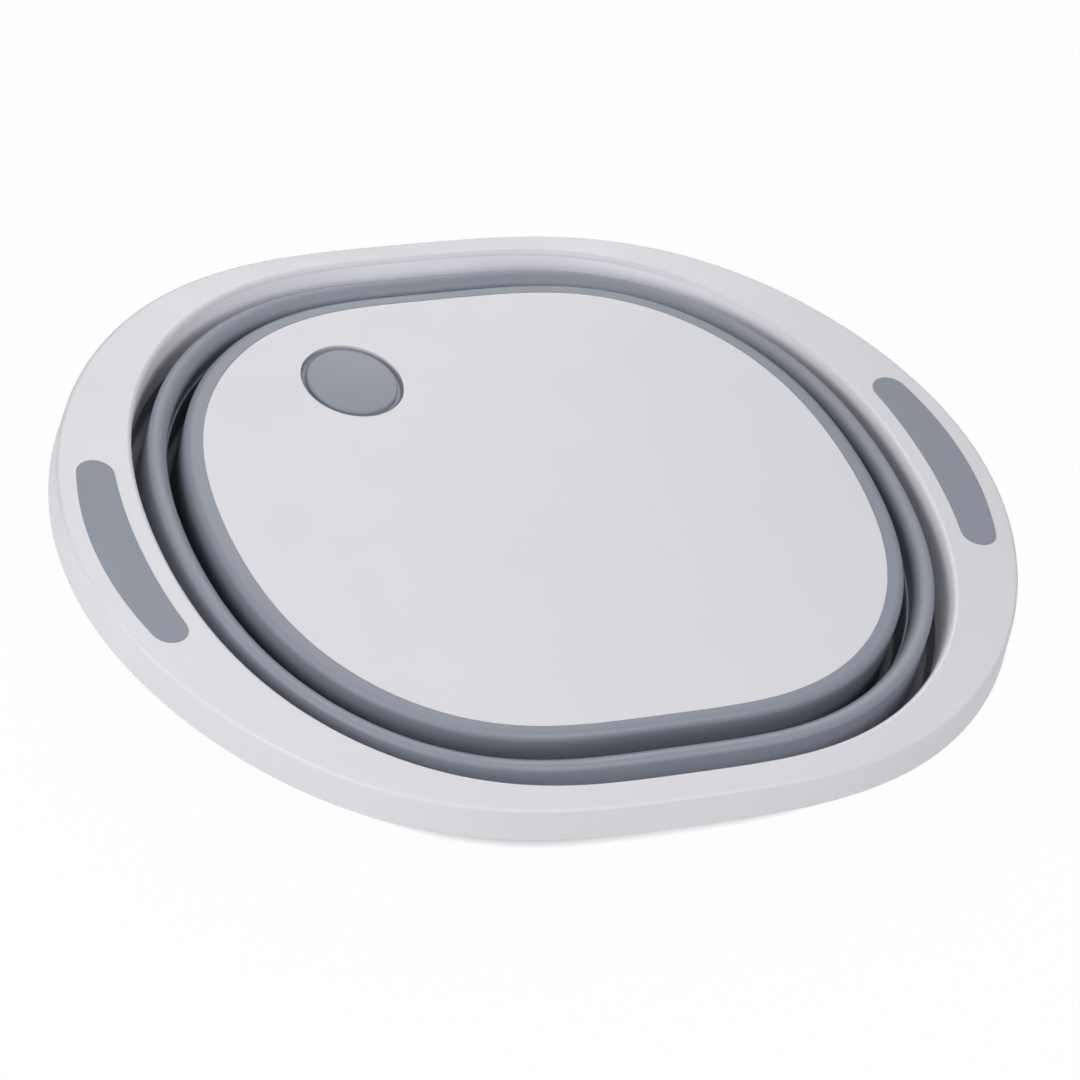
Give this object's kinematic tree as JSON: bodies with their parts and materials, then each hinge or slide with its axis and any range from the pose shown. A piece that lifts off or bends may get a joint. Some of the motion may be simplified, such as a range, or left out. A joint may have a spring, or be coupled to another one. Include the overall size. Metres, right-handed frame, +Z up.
{
  "type": "collapsible washing bowl",
  "caption": "Collapsible oval washing bowl shown folded flat: wide pale rim with soft grips, concertina wall, flat board base with a drain plug",
  "frame": {"origin": "under the middle of the bowl, on the surface that the folded wall stands on", "axes": "+Z up through the board, +X to the right grip along the long way, +Y across towards the drain plug"},
  "size_m": [0.3862, 0.317, 0.0351],
  "materials": {
    "white_plastic": "satin moulded polypropylene",
    "grey_rubber": "satin thermoplastic rubber"
  },
  "bodies": {
    "rim": {"rim_frame": "white_plastic", "left_grip": "grey_rubber", "right_grip": "grey_rubber", "upper_wall_band": "grey_rubber", "outer_fold_membrane": "grey_rubber"},
    "ring": {"middle_wall_band": "grey_rubber", "inner_fold_membrane": "grey_rubber"},
    "base": {"base_edge_ring": "grey_rubber", "base_board": "white_plastic"},
    "plug": {"drain_plug": "grey_rubber"}
  },
  "joints": [
    {"name": "outer_fold", "type": "slide", "parent": "rim", "child": "ring", "axis": [0, 0, -1], "range_m": [0, 0.0612], "deforming": ["outer_fold_membrane"]},
    {"name": "inner_fold", "type": "slide", "parent": "ring", "child": "base", "axis": [0, 0, -1], "range_m": [0, 0.0687], "deforming": ["inner_fold_membrane"]},
    {"name": "plug_pull", "type": "slide", "parent": "base", "child": "plug", "axis": [0, 0, 1], "range_m": [0, 0.03]}
  ]
}
